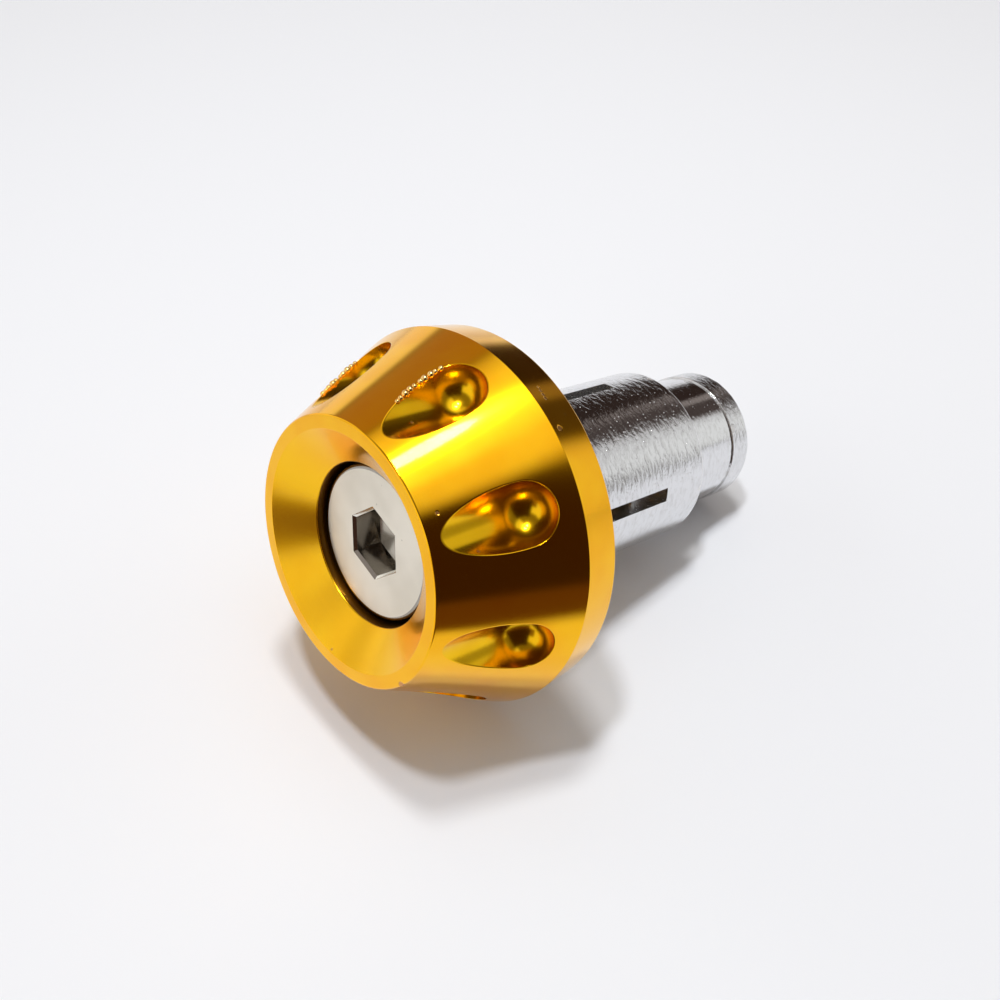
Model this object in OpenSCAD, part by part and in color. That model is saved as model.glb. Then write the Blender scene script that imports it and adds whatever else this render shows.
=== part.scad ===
// Handlebar end plug: a dished gold cap, a socket screw through it, a slotted
// sleeve that the cap's taper spreads inside the bar, and the tail nut that
// the screw pulls on. Millimetres. +Z runs along the plug's axis from the nose
// lip, which lies at z = 0, to the tail. X points at the land between two pockets.

/* [Cap] */
// Widest diameter, at the line where the cone meets the rear band
cap_d = 32; // [30:0.5:36]
// Diameter over the nose
nose_d = 22; // [21:0.5:24]
// Length of the cone, from the nose to the widest line
cone_l = 10.6; // [10:0.2:13]
// Length of the band behind the widest line
band_l = 3.3; // [2.6:0.1:5]
// How far the band falls in towards its rear edge, on the radius
band_fall = 0.35; // [0.1:0.05:0.8]
// Width of the flat lip round the dished face
lip_w = 1.1; // [0.8:0.1:1.3]
// Depth of the dished face
dish_depth = 2.3; // [1.6:0.1:3]
// Depth of the relief in the rear face round the spigot
relief_depth = 0.3; // [0.1:0.05:0.6]
// Chamfer on the turned edges of the cap
cap_edge = 0.15; // [0.05:0.05:0.3]

/* [Pockets] */
// Number of milled pockets round the cone
pocket_count = 8; // [4:1:9]
// Radius of the ball-nosed cutter
pocket_r = 2.4; // [1.6:0.1:2.6]
// Distance from the axis to the floor of a pocket
pocket_floor = 11.45; // [11.2:0.05:12.2]
// Height above the nose at which the cutter's ball stops
pocket_stop = 7; // [5.6:0.1:7.2]

/* [Screw] */
// Diameter of the threaded shank
thread_d = 8; // [7:0.5:8]
// Length under the head
screw_l = 35; // [30:1:36]
// How far the head's edge lies inside the sleeve's outside, on the radius
head_inset = 1.5; // [1.3:0.05:1.7]
// Height of the head
head_h = 5; // [4.4:0.1:5.6]
// Depth of the head's face below the bottom of the dish
head_sink = 0.65; // [0.2:0.05:1]
// Chamfer round the head's face
head_edge = 0.45; // [0.2:0.05:0.6]
// Width across the flats of the hexagon socket
key_af = 5; // [4:0.5:6]
// Depth of the socket's flats
key_depth = 2.6; // [2:0.1:2.8]
// Turn of a corner of the socket away from the land between two pockets
key_turn = 15.2; // [0:0.1:60]
// Chamfer on the tip of the screw
tip_edge = 0.9; // [0.4:0.1:1.2]

/* [Sleeve] */
// Outside diameter of the sleeve, which enters the bar
sleeve_d = 16; // [15.5:0.25:17.5]
// Wall of the sleeve
sleeve_wall = 1.8; // [1.6:0.05:2]
// Length of the sleeve
sleeve_l = 20.4; // [18:0.2:24]
// Number of saw slots
slot_count = 4; // [2:1:6]
// Width of a saw slot
slot_w = 1.3; // [0.8:0.1:2]
// Length of the whole ring that the slots stop short of
ring_l = 5.2; // [4:0.1:7]
// Turn of the first slot away from the land between two pockets
slot_turn = 48.8; // [0:0.1:90]
// Chamfer on the ends of the sleeve
sleeve_edge = 0.25; // [0.1:0.05:0.4]

/* [Taper] */
// Half angle of the taper
taper_angle = 10; // [8:0.5:12]
// How much wider the mouth of the sleeve is than its bore, on the radius
mouth_flare = 0.7; // [0.5:0.05:0.8]
// Length of the cap's tapered spigot
taper_l = 6; // [5:0.2:7]
// Gap behind the cap that is left for drawing up the sleeve
draw_gap = 0.6; // [0.4:0.1:1]

/* [Tail nut] */
// Length that stands out of the sleeve
nut_out = 9.5; // [8:0.1:11]
// Length that is pressed into the sleeve
nut_in = 8; // [6:0.2:9]
// Length of the collar at the tail
collar_l = 2.6; // [1.5:0.1:4]
// Step from the nut's barrel up to the collar, on the radius
collar_step = 0.14; // [0.05:0.01:0.3]
// Chamfer round the end of the tail
tail_edge = 0.45; // [0.2:0.05:0.6]
// Chamfer at both ends of the nut's thread
thread_lead = 0.45; // [0.2:0.05:0.8]

/* [Fits] */
// Clearance between the rear face's relief and the sleeve, on the radius
relief_gap = 0.4; // [0.1:0.05:0.6]
// Clearance round the screw's head, on the radius
head_gap = 0.3; // [0.2:0.05:0.4]
// Clearance round the shank in the cap, on the radius
shank_gap = 0.3; // [0.15:0.05:0.4]
// Clearance of the thread in the tail nut, on the radius
thread_gap = 0.05; // [0.02:0.01:0.1]
// Clearance between the spigot and the mouth of the sleeve, square to the taper
taper_gap = 0.05; // [0.02:0.01:0.1]

/* [Hidden] */
$fn = 96;

// Room by which a cutter runs past the face that it opens
past = 1;
// Included angle of the drill that made the screw's socket
drill_angle = 120;
// Ledge left between the drill hole and the flats of the socket
drill_ledge = 0.1;

cap_r = cap_d / 2;
nose_r = nose_d / 2;
cap_l = cone_l + band_l;
cone_slope = (cap_r - nose_r) / cone_l;

head_z = dish_depth + head_sink;
head_r = sleeve_d / 2 - head_inset;
seat_z = head_z + head_h;
shank_r = thread_d / 2;
screw_tip = seat_z + screw_l;
key_r = key_af / sqrt(3);
drill_r = key_af / 2 - drill_ledge;

sleeve_r = sleeve_d / 2;
relief_r = sleeve_r + relief_gap;
bore_r = sleeve_r - sleeve_wall;
sleeve_z = cap_l + draw_gap;
sleeve_end = sleeve_z + sleeve_l;
slot_end = sleeve_end - ring_l;

mouth_r = bore_r + mouth_flare;
flare_l = mouth_flare / tan(taper_angle);
spigot_r = mouth_r - taper_gap / cos(taper_angle) + draw_gap * tan(taper_angle);
spigot_tip_r = spigot_r - taper_l * tan(taper_angle);

nut_z = sleeve_end - nut_in;
nut_end = sleeve_end + nut_out;
collar_r = bore_r + collar_step;
thread_hole_r = shank_r + thread_gap;

// Turned outline of the cap, as [radius, height]
function cap_profile() = [
    [nose_r - lip_w, 0],
    [nose_r - cap_edge, 0],
    [nose_r + cap_edge * cone_slope, cap_edge],
    [cap_r, cone_l],
    [cap_r - band_fall, cap_l - cap_edge],
    [cap_r - band_fall - cap_edge, cap_l],
    [relief_r, cap_l],
    [relief_r, cap_l - relief_depth],
    [spigot_r, cap_l - relief_depth],
    [spigot_r, cap_l],
    [spigot_tip_r, cap_l + taper_l],
    [shank_r + shank_gap, cap_l + taper_l],
    [shank_r + shank_gap, seat_z],
    [head_r + head_gap, seat_z],
    [head_r + head_gap, dish_depth]
];

// One pass of the ball-nosed cutter, fed along the axis from the nose
module pocket_cut() {
    translate([pocket_floor + pocket_r, 0, 0])
        rotate_extrude() {
            translate([0, -past]) square([pocket_r, pocket_stop + past]);
            translate([0, pocket_stop])
                intersection() {
                    circle(pocket_r);
                    square(pocket_r);
                }
        }
}

module end_cap() {
    color("#f0ae08")
        difference() {
            rotate_extrude() polygon(cap_profile());
            for (i = [0 : pocket_count - 1])
                rotate((i + 0.5) * 360 / pocket_count) pocket_cut();
        }
}

// Hexagon socket with the cone that its pilot drill leaves
module key_socket() {
    rotate(key_turn) {
        translate([0, 0, head_z - past])
            cylinder(r = key_r, h = key_depth + past, $fn = 6);
        translate([0, 0, head_z + key_depth - drill_ledge])
            cylinder(r1 = drill_r, r2 = 0, h = drill_r / tan(drill_angle / 2));
    }
}

module cap_screw() {
    color("#dcd7cb")
        difference() {
            rotate_extrude()
                polygon([
                    [0, head_z],
                    [head_r - head_edge, head_z],
                    [head_r, head_z + head_edge],
                    [head_r, seat_z],
                    [shank_r, seat_z],
                    [shank_r, screw_tip - tip_edge],
                    [shank_r - tip_edge, screw_tip],
                    [0, screw_tip]
                ]);
            key_socket();
        }
}

// Saw cut through one side of the sleeve, open at the mouth
module slot_cut() {
    translate([0, -slot_w / 2, sleeve_z - past])
        cube([sleeve_r + past, slot_w, slot_end - sleeve_z + past]);
}

module expansion_sleeve() {
    color("#c9cbd0")
        difference() {
            rotate_extrude()
                polygon([
                    [mouth_r, sleeve_z],
                    [sleeve_r - sleeve_edge, sleeve_z],
                    [sleeve_r, sleeve_z + sleeve_edge],
                    [sleeve_r, sleeve_end - sleeve_edge],
                    [sleeve_r - sleeve_edge, sleeve_end],
                    [bore_r, sleeve_end],
                    [bore_r, sleeve_z + flare_l]
                ]);
            for (i = [0 : slot_count - 1])
                rotate(slot_turn + i * 360 / slot_count) slot_cut();
        }
}

module tail_nut() {
    color("#b9bcc2")
        rotate_extrude()
            polygon([
                [thread_hole_r + thread_lead, nut_z],
                [bore_r, nut_z],
                [bore_r, nut_end - collar_l],
                [collar_r, nut_end - collar_l],
                [collar_r, nut_end - tail_edge],
                [collar_r - tail_edge, nut_end],
                [thread_hole_r + thread_lead, nut_end],
                [thread_hole_r, nut_end - thread_lead],
                [thread_hole_r, nut_z + thread_lead]
            ]);
}

end_cap();
cap_screw();
expansion_sleeve();
tail_nut();
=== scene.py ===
"""Handlebar end plug: finishes, fine shapes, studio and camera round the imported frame.

Lengths in this file are millimetres until a mesh, lamp or camera is made, and angles are degrees.
The plug stands on its nose: +Z runs along its axis from the nose to the tail, and +X points at the
land between two milled pockets.
"""

from __future__ import annotations

import cmath
import logging
import math
from dataclasses import dataclass, field
from enum import Enum
from typing import Any, Callable, ClassVar, Sequence

import bpy
from mathutils import Matrix, Vector

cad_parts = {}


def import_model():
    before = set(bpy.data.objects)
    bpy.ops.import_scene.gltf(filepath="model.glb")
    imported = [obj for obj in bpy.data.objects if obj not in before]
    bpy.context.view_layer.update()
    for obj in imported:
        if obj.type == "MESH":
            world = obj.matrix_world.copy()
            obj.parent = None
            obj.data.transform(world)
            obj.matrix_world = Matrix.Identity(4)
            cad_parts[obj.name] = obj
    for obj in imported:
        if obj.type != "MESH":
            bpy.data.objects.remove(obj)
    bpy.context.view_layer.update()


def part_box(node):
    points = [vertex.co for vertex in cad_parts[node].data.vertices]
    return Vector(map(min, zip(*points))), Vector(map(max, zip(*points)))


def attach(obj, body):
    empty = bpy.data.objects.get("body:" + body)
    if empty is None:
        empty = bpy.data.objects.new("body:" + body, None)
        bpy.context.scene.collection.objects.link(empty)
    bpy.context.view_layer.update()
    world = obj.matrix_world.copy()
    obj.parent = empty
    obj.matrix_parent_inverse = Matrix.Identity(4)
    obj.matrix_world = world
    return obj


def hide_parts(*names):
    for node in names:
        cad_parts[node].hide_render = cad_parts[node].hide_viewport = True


LOG = logging.getLogger("end_plug")

MM = 0.001
FULL_TURN = 360.0
SIDES = 6
SIDE_ANGLE = FULL_TURN / SIDES
WELD = 1e-5
CLOSE = 1e-6
# The largest turn, in degrees, between neighbouring points of a rounding
ROUNDING_STEP = 11.0

Triple = tuple[float, float, float]
Corner = tuple[Triple, Triple]
Colour = tuple[float, float, float]


class Body(Enum):
    """The rigid bodies of the frame that a piece can ride on."""

    CAP = "cap"
    SCREW = "screw"
    PLUG = "plug"


class Slot(Enum):
    """The record's material slots."""

    CAP = "cap_gold"
    SCREW = "screw_steel"
    SLEEVE = "sleeve_chrome"
    NUT = "nut_chrome"


def lerp(a: float, b: float, t: float) -> float:
    """Returns the value a share t of the way from a to b."""
    return a + (b - a) * t


def mix(a: Triple, b: Triple, t: float) -> Triple:
    """Returns the point a share t of the way from a to b."""
    return (lerp(a[0], b[0], t), lerp(a[1], b[1], t), lerp(a[2], b[2], t))


def plus(p: Triple, v: Triple, share: float = 1.0) -> Triple:
    """Returns p moved by a share of v."""
    return (p[0] + share * v[0], p[1] + share * v[1], p[2] + share * v[2])


def unit(v: Triple) -> Triple:
    """Returns v at length one."""
    size = math.sqrt(v[0] * v[0] + v[1] * v[1] + v[2] * v[2]) or 1.0
    return (v[0] / size, v[1] / size, v[2] / size)


def smooth_step(edge_0: float, edge_1: float, x: float) -> float:
    """Returns a smooth ramp from 0 at edge_0 to 1 at edge_1."""
    t = min(max((x - edge_0) / (edge_1 - edge_0), 0.0), 1.0)
    return t * t * (3 - 2 * t)


def polar(radius: float, degrees: float, z: float) -> Triple:
    """Returns the point at a radius, an angle about the axis and a height."""
    a = math.radians(degrees)
    return (radius * math.cos(a), radius * math.sin(a), z)


def placed(name: str, data: Any, matrix: Matrix | None = None) -> bpy.types.Object:
    """Returns a new object in the scene.

    Args:
        name: The object's name.
        data: Its mesh, lamp or camera.
        matrix: Its place and turn, or None for the frame's own.
    """
    thing = bpy.data.objects.new(name, data)
    if matrix is not None:
        thing.matrix_world = matrix
    bpy.context.scene.collection.objects.link(thing)
    return thing


class MeshBuilder:
    """Collects welded points and faces whose corners keep their own exact normals."""

    def __init__(self, name: str) -> None:
        """Starts an empty mesh.

        Args:
            name: The name of the mesh and of its object.
        """
        self.name = name
        self.points: list[Triple] = []
        self.index: dict[tuple[int, int, int], int] = {}
        self.faces: list[list[int]] = []
        self.normals: list[Triple] = []
        self.slots: list[int] = []

    def point(self, p: Triple) -> int:
        """Returns the number of the welded point at p, in millimetres."""
        key = (round(p[0] / WELD), round(p[1] / WELD), round(p[2] / WELD))
        if key not in self.index:
            self.index[key] = len(self.points)
            self.points.append(p)
        return self.index[key]

    def face(self, corners: Sequence[Corner], slot: int) -> None:
        """Adds one face, turned so that it faces the way its corners' normals do.

        Args:
            corners: A point and a normal for each corner, in order round the face.
            slot: The number of the material slot.
        """
        kept: list[tuple[int, Triple]] = []
        for place, normal in corners:
            number = self.point(place)
            if not kept or kept[-1][0] != number:
                kept.append((number, normal))
        if kept[0][0] == kept[-1][0]:
            kept.pop()
        if len(kept) < 3:
            return
        area = [0.0, 0.0, 0.0]
        facing = [0.0, 0.0, 0.0]
        for (i, n), (j, _) in zip(kept, kept[1:] + kept[:1]):
            p, q = self.points[i], self.points[j]
            area[0] += (p[1] - q[1]) * (p[2] + q[2])
            area[1] += (p[2] - q[2]) * (p[0] + q[0])
            area[2] += (p[0] - q[0]) * (p[1] + q[1])
            for k in range(3):
                facing[k] += n[k]
        if sum(a * b for a, b in zip(area, facing)) < 0:
            kept.reverse()
        self.faces.append([number for number, _ in kept])
        self.normals.extend(normal for _, normal in kept)
        self.slots.append(slot)

    def grid(self, rows: Sequence[Sequence[Corner]], slot: int, closed: bool = False) -> None:
        """Adds the quads between rows of corners.

        Args:
            rows: Rows of equal length.
            slot: The number of the material slot.
            closed: Whether each row's last corner joins its first.
        """
        for lower, upper in zip(rows, rows[1:]):
            count = len(lower)
            for i in range(count if closed else count - 1):
                j = (i + 1) % count
                self.face([lower[i], lower[j], upper[j], upper[i]], slot)

    def finish(self, materials: Sequence[bpy.types.Material]) -> bpy.types.Object:
        """Makes the object, in metres.

        Args:
            materials: One material for each slot that the faces use.

        Returns:
            The new object, linked to the scene.
        """
        mesh = bpy.data.meshes.new(self.name)
        mesh.from_pydata([tuple(c * MM for c in p) for p in self.points], [], self.faces)
        for material in materials:
            mesh.materials.append(material)
        mesh.polygons.foreach_set("material_index", self.slots)
        mesh.polygons.foreach_set("use_smooth", [True] * len(self.faces))
        mesh.normals_split_custom_set([unit(n) for n in self.normals])
        mesh.update()
        return placed(self.name, mesh)


@dataclass(frozen=True)
class OutlinePoint:
    """A point of a turned outline with the direction that its surface faces."""

    r: float
    z: float
    nr: float
    nz: float

    def corner(self, degrees: float) -> Corner:
        """Returns the surface corner at an angle about the axis."""
        return polar(self.r, degrees, self.z), polar(self.nr, degrees, self.nz)


def turned_outline(corners: Sequence[Triple], closed: bool = False) -> list[OutlinePoint]:
    """Rounds the corners of a turned outline.

    Args:
        corners: Radius, height and rounding of each corner. The solid lies to the right of the way
            along them, seen with the radius to the right and the height up.
        closed: Whether the last corner joins the first.

    Returns:
        The points, each with its surface's normal.
    """
    count = len(corners)
    points: list[OutlinePoint] = []
    ways: dict[int, complex] = {}

    def add(place: complex, way: complex) -> None:
        """Adds the point at a place where the outline runs along way."""
        points.append(OutlinePoint(place.real, place.imag, -way.imag, way.real))

    for i in range(count if closed else count - 1):
        here, there = (complex(*corners[k % count][:2]) for k in (i, i + 1))
        ways[i] = (there - here) / abs(there - here)
    for i, (r, z, radius) in enumerate(corners):
        before, after = ways.get((i - 1) % count if closed else i - 1), ways.get(i)
        if before is None or after is None:
            add(complex(r, z), after or before)
            continue
        turn = cmath.phase(after / before)
        inward = math.copysign(radius, turn) * 1j
        start = complex(r, z) - before * radius * abs(math.tan(turn / 2))
        centre = start + before * inward
        steps = max(1, math.ceil(abs(math.degrees(turn)) / ROUNDING_STEP))
        for k in range(steps + 1):
            way = before * cmath.rect(1.0, turn * k / steps)
            add(centre - way * inward, way)
    if closed:
        points.append(points[0])
    return points


def lathe(
    builder: MeshBuilder, outline: Sequence[OutlinePoint], columns: int, slot: int
) -> None:
    """Turns an outline about the axis.

    Args:
        builder: Where the faces go.
        outline: The outline's points in order.
        columns: The number of steps round the axis.
        slot: The number of the material slot.
    """
    angles = [FULL_TURN * i / columns for i in range(columns)]
    builder.grid([[p.corner(a) for a in angles] for p in outline], slot, closed=True)


def arc(p: OutlinePoint, low: float, high: float, steps: int) -> list[Corner]:
    """Returns the corners along the arc that a point of an outline draws from low to high."""
    return [p.corner(lerp(low, high, i / steps)) for i in range(steps + 1)]


class NodeGraph:
    """Short calls for building a node tree."""

    def __init__(self, tree: bpy.types.NodeTree) -> None:
        """Keeps the tree that nodes go into.

        Args:
            tree: The tree of a material, a world or a group.
        """
        self.tree = tree

    def add(self, kind: str, settings: dict[str, Any] | None = None, **inputs: Any) -> bpy.types.Node:
        """Adds a node.

        Args:
            kind: The node's type name without its ShaderNode prefix, or a full type name.
            settings: Properties to set on the node.
            **inputs: Values or sockets for inputs, by the input's name with _ for a space, or by
                its number as n0, n1 and so on.

        Returns:
            The node.
        """
        name = kind if kind.startswith("Node") else "ShaderNode" + kind
        node = self.tree.nodes.new(name)
        for key, value in (settings or {}).items():
            setattr(node, key, value)
        for key, value in inputs.items():
            numbered = key[0] == "n" and key[1:].isdigit()
            socket = node.inputs[int(key[1:])] if numbered else node.inputs[key.replace("_", " ")]
            self.put(value, socket)
        return node

    def put(self, value: Any, socket: bpy.types.NodeSocket) -> None:
        """Links a socket or sets a plain value."""
        if isinstance(value, bpy.types.NodeSocket):
            self.tree.links.new(value, socket)
        elif isinstance(value, bpy.types.Node):
            self.tree.links.new(value.outputs[0], socket)
        else:
            socket.default_value = value

    def math(self, operation: str, *values: Any) -> bpy.types.NodeSocket:
        """Returns the result of a Math node."""
        node = self.add("Math", {"operation": operation})
        for value, socket in zip(values, node.inputs):
            self.put(value, socket)
        return node.outputs[0]

    def dot(self, a: Any, b: Any) -> bpy.types.NodeSocket:
        """Returns the dot product of two vectors."""
        node = self.add("VectorMath", {"operation": "DOT_PRODUCT"}, n0=a, n1=b)
        return node.outputs["Value"]

    def ramp(self, value: Any, low: float, high: float) -> bpy.types.NodeSocket:
        """Returns value as a smooth share from 0 at low to 1 at high."""
        settings = {"interpolation_type": "SMOOTHSTEP"}
        return self.add("MapRange", settings, n0=value, n1=low, n2=high).outputs[0]

    def blend(self, share: Any, a: Any, b: Any) -> bpy.types.NodeSocket:
        """Returns the colour mixed from a to b by share."""
        node = self.add("Mix", {"data_type": "RGBA"})
        self.put(share, node.inputs[0])
        for value, socket in ((a, node.inputs[6]), (b, node.inputs[7])):
            self.put((*value, 1.0) if isinstance(value, tuple) else value, socket)
        return node.outputs[2]

    def bump(self, height: Any, size: float, shader: bpy.types.Node) -> None:
        """Gives a shader the relief of a height, at size millimetres for each unit of it."""
        node = self.add("Bump", Strength=1.0, Distance=size * MM, Height=height)
        self.put(node, shader.inputs["Normal"])


def empty_graph(owner: bpy.types.Material | bpy.types.World) -> NodeGraph:
    """Returns the emptied node tree of a new material or world."""
    owner.use_nodes = True
    owner.node_tree.nodes.clear()
    return NodeGraph(owner.node_tree)


class EffectGroup(NodeGraph):
    """A shader node group that takes and gives plain values."""

    def __init__(self, name: str, inputs: dict[str, float], outputs: Sequence[str]) -> None:
        """Starts the group.

        Args:
            name: The group's name.
            inputs: Each input's name and default.
            outputs: The names of the outputs.
        """
        super().__init__(bpy.data.node_groups.new(name, "ShaderNodeTree"))
        ends = [(label, "INPUT") for label in inputs] + [(label, "OUTPUT") for label in outputs]
        for label, end in ends:
            socket = self.tree.interface.new_socket(
                name=label, in_out=end, socket_type="NodeSocketFloat"
            )
            socket.default_value = inputs.get(label, 0.0)
        self.given = self.add("NodeGroupInput").outputs
        self.result = self.add("NodeGroupOutput").inputs
        self.place = self.add("TexCoord").outputs["Object"]


class SurfaceEffects:
    """The effects that several finishes share, each built once as a node group."""

    RAGGED_PER_MM, RAGGED_SHARE, LEAST_REACH, SPOT_CORE = 3.0, 0.9, 0.55, 0.6
    HEIGHT_SHARE = 0.83
    BEND_PITCH, BEND_SHARE, SPECK_EDGE, SPECK_CORE = 2.0, 0.22, 0.30, 0.18
    GRAIN_PITCH = 5.0

    def __init__(self) -> None:
        """Builds the groups."""
        self.turned = self.turned_lines()
        self.specks = self.handling_specks()
        self.peel = self.plating_peel()
        self.spot = self.worn_spot()

    def place(self, graph: NodeGraph, group: Any, **values: Any) -> bpy.types.Node:
        """Puts a group into a material.

        Args:
            graph: The material's graph.
            group: The node group.
            **values: Values or sockets for its inputs, by name with _ for a space.

        Returns:
            The group node.
        """
        node = graph.add("Group", {"node_tree": group})
        for key, value in values.items():
            graph.put(value, node.inputs[key.replace("_", " ")])
        return node

    def marks(self, graph: NodeGraph, marks: Sequence[Mark]) -> Any:
        """Returns a mask that covers every mark, or 0 where there are none."""
        mask: Any = 0.0
        for mark in marks:
            x, y, z = mark.place
            spot = self.place(graph, self.spot, X=x, Y=y, Z=z, Reach=mark.reach)
            mask = graph.math("MAXIMUM", mask, spot.outputs[0])
        return mask

    def worn_spot(self) -> bpy.types.NodeTree:
        """Returns the group for one nick: a mask round a place given in millimetres."""
        g = EffectGroup("worn_spot", {"X": 0.0, "Y": 0.0, "Z": 0.0, "Reach": 0.3}, ["Mask"])
        ragged = g.add("TexNoise", Vector=g.place, Scale=self.RAGGED_PER_MM / MM, Detail=2.0)
        middle = g.add("CombineXYZ", n0=g.given["X"], n1=g.given["Y"], n2=g.given["Z"])
        scaled = g.add("VectorMath", {"operation": "SCALE"}, Vector=g.place, Scale=1 / MM)
        apart = g.add("VectorMath", {"operation": "DISTANCE"}, n0=scaled, n1=middle)
        rough = g.math("MULTIPLY_ADD", ragged, self.RAGGED_SHARE, self.LEAST_REACH)
        reach = g.math("MULTIPLY", g.given["Reach"], rough)
        share = g.math("DIVIDE", apart.outputs["Value"], reach)
        g.put(g.ramp(share, 1.0, self.SPOT_CORE), g.result["Mask"])
        return g.tree

    def turned_lines(self) -> bpy.types.NodeTree:
        """Returns the group for fine lines left by turning: a height and a slow haze."""
        sizes = {"Lines per mm": 8.0, "Slow scale": 0.25}
        g = EffectGroup("turned_lines", sizes, ["Height", "Haze"])
        flat = g.add("VectorMath", {"operation": "MULTIPLY"}, n0=g.place, n1=(1.0, 1.0, 0.0))
        radius = g.add("VectorMath", {"operation": "LENGTH"}, n0=flat).outputs["Value"]
        height = g.dot(g.place, (0.0, 0.0, 1.0))
        pitch = g.math("MULTIPLY", g.given["Lines per mm"], 1 / MM)
        along = g.math("ADD", radius, g.math("MULTIPLY", height, self.HEIGHT_SHARE))
        across = g.math("MULTIPLY", along, pitch)
        fine = g.add("TexNoise", {"noise_dimensions": "1D"}, W=across, Scale=1.0, Detail=3.0)
        slow_pitch = g.math("MULTIPLY", g.given["Slow scale"], 1 / MM)
        g.put(fine, g.result["Height"])
        g.put(g.add("TexNoise", Vector=g.place, Scale=slow_pitch, Detail=2.0), g.result["Haze"])
        return g.tree

    def handling_specks(self) -> bpy.types.NodeTree:
        """Returns the group for small nicks and specks: a mask with few, small marks."""
        g = EffectGroup("handling_specks", {"Per mm": 1.0, "Share": 0.12}, ["Mask"])
        pitch = g.math("MULTIPLY", g.given["Per mm"], 1 / MM)
        bends = g.math("MULTIPLY", pitch, self.BEND_PITCH)
        bent = g.add("TexNoise", Vector=g.place, Scale=bends, Detail=2.0)
        cells = g.add("TexVoronoi", Vector=g.place, Scale=pitch, Randomness=1.0)
        bend = g.math("MULTIPLY", bent, self.BEND_SHARE)
        spread = g.math("ADD", cells.outputs["Distance"], bend)
        pick = g.add("TexWhiteNoise", Vector=cells.outputs["Color"])
        chosen = g.math("LESS_THAN", pick.outputs["Value"], g.given["Share"])
        spot = g.ramp(spread, self.SPECK_EDGE, self.SPECK_CORE)
        g.put(g.math("MULTIPLY", spot, chosen), g.result["Mask"])
        return g.tree

    def plating_peel(self) -> bpy.types.NodeTree:
        """Returns the group for the wrinkled skin of bright plating: heights at two scales."""
        g = EffectGroup("plating_peel", {"Per mm": 1.2, "Stretch": 2.2}, ["Height", "Grain"])
        squeeze = g.add("CombineXYZ", n0=1.0, n1=1.0, n2=g.given["Stretch"])
        drawn = g.add("VectorMath", {"operation": "MULTIPLY"}, n0=g.place, n1=squeeze)
        pitch = g.math("MULTIPLY", g.given["Per mm"], 1 / MM)
        broad = g.add("TexNoise", Vector=drawn, Scale=pitch, Detail=4.0, Distortion=0.6)
        grains = g.math("MULTIPLY", pitch, self.GRAIN_PITCH)
        grain = g.add("TexNoise", Vector=g.place, Scale=grains, Detail=3.0)
        g.put(broad, g.result["Height"])
        g.put(grain, g.result["Grain"])
        return g.tree


@dataclass(frozen=True)
class Mark:
    """A small nick: its place in millimetres and how far it reaches."""

    place: Triple
    reach: float


def metal_material(name: str) -> tuple[bpy.types.Material, NodeGraph, bpy.types.Node]:
    """Makes an empty metal.

    Args:
        name: The material's name.

    Returns:
        The material, its graph and its Principled shader.
    """
    material = bpy.data.materials.new(name)
    graph = empty_graph(material)
    shader = graph.add("BsdfPrincipled", Metallic=1.0)
    graph.add("OutputMaterial", Surface=shader.outputs[0])
    return material, graph, shader


@dataclass(frozen=True)
class GoldAnodising:
    """Gold-dyed aluminium, polished, turned or milled."""

    name: str
    colour: Colour = (1.0, 0.52, 0.006)
    deep_colour: Colour = (0.97, 0.46, 0.003)
    chip_colour: Colour = (0.62, 0.29, 0.08)
    seal: float = 0.18
    seal_roughness: float = 0.05
    roughness: float = 0.13
    haze_roughness: float = 0.05
    haze_span: tuple[float, float] = (0.35, 0.7)
    chip_roughness: float = 0.15
    lines_per_mm: float = 9.0
    line_height: float = 0.0006
    specks_per_mm: float = 0.9
    speck_share: float = 0.03
    speck_depth: float = 4.0
    mark_depth: float = 40.0
    marks: tuple[Mark, ...] = ()

    def material(self, effects: SurfaceEffects) -> bpy.types.Material:
        """Returns the finish as a material."""
        material, g, shader = metal_material(self.name)
        turned = effects.place(g, effects.turned, Lines_per_mm=self.lines_per_mm)
        specks = effects.place(g, effects.specks, Per_mm=self.specks_per_mm, Share=self.speck_share)
        haze = turned.outputs["Haze"]
        dyed = g.blend(g.ramp(haze, *self.haze_span), self.colour, self.deep_colour)
        worn = effects.marks(g, self.marks)
        chipped = g.math("MAXIMUM", specks, worn)
        g.put(g.blend(chipped, dyed, self.chip_colour), shader.inputs["Base Color"])
        shader.inputs["Coat Weight"].default_value = self.seal
        shader.inputs["Coat Roughness"].default_value = self.seal_roughness
        least = self.roughness - self.haze_roughness / 2
        rough = g.math("MULTIPLY_ADD", haze, self.haze_roughness, least)
        g.put(g.math("MULTIPLY_ADD", chipped, self.chip_roughness, rough), shader.inputs["Roughness"])
        dents = g.math("MULTIPLY", worn, -self.mark_depth)
        sunk = g.math("MULTIPLY_ADD", specks, -self.speck_depth, dents)
        g.bump(g.math("ADD", turned.outputs["Height"], sunk), self.line_height, shader)
        return material


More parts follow.
